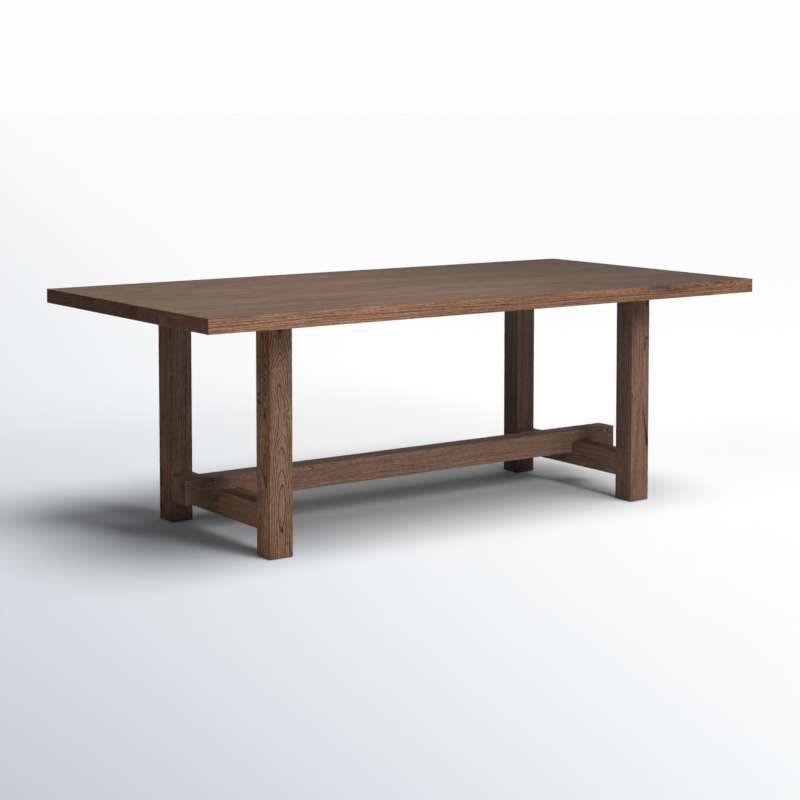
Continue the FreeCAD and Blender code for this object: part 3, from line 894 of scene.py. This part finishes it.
# Directions on the floor: to the right in the picture, and away from the camera
RIGHT_IN_VIEW = (0.92, -0.39, 0.0)
AWAY_IN_VIEW = (0.39, 0.92, 0.0)
# Where the dim part of the floor sets in at its left and near sides, and where it ends at its right side
DIM_LEFT = (-3.4, -1.4)
DIM_NEAR = (-8.0, -3.5)
DIM_RIGHT = (-2.2, 0.9)
# It is divided by the distance from a line this far in front of the middle, but by no less than the least
DIM_START = 6.2
DIM_FULL = 3.8
DIM_LEAST = 3.4
# The colour that the dim part turns to, and how far
DIM_COLOUR = (0.0, 0.05, 0.16)
DIM_SHARE = 0.52


def studio_floor():
    """One flat square under the feet, with a pale matt material.

    The light of the near panel on the floor is its level times the height of the panel and the distance along
    its aim, over the fourth power of the distance. The colour is divided by the sum of it and the base light.
    """
    mesh = bpy.data.meshes.new("studio_floor")
    corner_signs = ((-1, -1), (1, -1), (1, 1), (-1, 1))
    mesh.from_pydata([(x * FLOOR_REACH, y * FLOOR_REACH, 0) for x, y in corner_signs], [], [(0, 1, 2, 3)])
    floor = bpy.data.objects.new("studio_floor", mesh)
    bpy.context.scene.collection.objects.link(floor)
    material, bench, shader = new_material("pale_floor")
    shader.inputs["Roughness"].default_value = 1.0
    shader.inputs["Specular IOR Level"].default_value = 0.0
    place = bench.tree.nodes.new("ShaderNodeTexCoord").outputs["Object"]

    aim = NEAR_PANEL_AIM - NEAR_PANEL_PLACE
    away = bench.vector("SUBTRACT", place, NEAR_PANEL_PLACE)
    squared = bench.vector("DOT_PRODUCT", away, away, output="Value")
    forward = bench.vector("DOT_PRODUCT", away, aim, output="Value")
    strength = NEAR_PANEL_LEVEL * aim.length * NEAR_PANEL_PLACE.z
    light = bench.math("DIVIDE", bench.math("MULTIPLY", forward, strength), bench.math("POWER", squared, 2.0))
    light = bench.math("ADD", bench.math("MAXIMUM", light, 0.0), FLOOR_BASE_LIGHT)
    light = bench.math("MAXIMUM", light, 1.0)
    even = bench.vector("DIVIDE", PALE, bench.join(light, light, light))

    across = bench.vector("DOT_PRODUCT", place, RIGHT_IN_VIEW, output="Value")
    along = bench.vector("DOT_PRODUCT", place, AWAY_IN_VIEW, output="Value")
    beside = bench.math("MULTIPLY", bench.ramp(across, *DIM_RIGHT, 1.0, 0.0), bench.ramp(across, *DIM_LEFT))
    distance = bench.math("MAXIMUM", bench.math("ADD", along, DIM_START), DIM_LEAST)
    nearness = bench.math("MULTIPLY", bench.math("DIVIDE", DIM_FULL, distance), bench.ramp(along, *DIM_NEAR))
    dim = bench.math("MULTIPLY", bench.math("MULTIPLY", beside, nearness), DIM_SHARE)
    bench.wire(bench.mix(dim, even, opaque(DIM_COLOUR)), shader.inputs["Base Color"])
    mesh.materials.append(material)


studio_floor()

# The camera
# A long lens off the near left corner, 1.34 m above the floor, tipped down a little, with part of the shift
# that the photo has.

SENSOR = 36.0
FOCAL_SHARE = 1860.0 / 800.0
CAMERA_PLACE = (-3.589, -5.044, 1.343)
CAMERA_TURN = 35.18
CAMERA_DIP = 4.02
SHIFT_DOWN = -0.2
SHIFT_SIDE = -0.002
NEAREST_SEEN = 0.1
FARTHEST_SEEN = 2000.0

lens = bpy.data.cameras.new("photo_camera")
lens.sensor_width = SENSOR
lens.lens = SENSOR * FOCAL_SHARE
lens.shift_x = SHIFT_SIDE
lens.shift_y = SHIFT_DOWN
lens.clip_start = NEAREST_SEEN
lens.clip_end = FARTHEST_SEEN
camera = bpy.data.objects.new("photo_camera", lens)
camera.location = CAMERA_PLACE
camera.rotation_euler = (math.radians(90.0 - CAMERA_DIP), 0.0, math.radians(-CAMERA_TURN))
bpy.context.scene.collection.objects.link(camera)
bpy.context.scene.camera = camera

bpy.context.scene.view_settings.view_transform = "Standard"
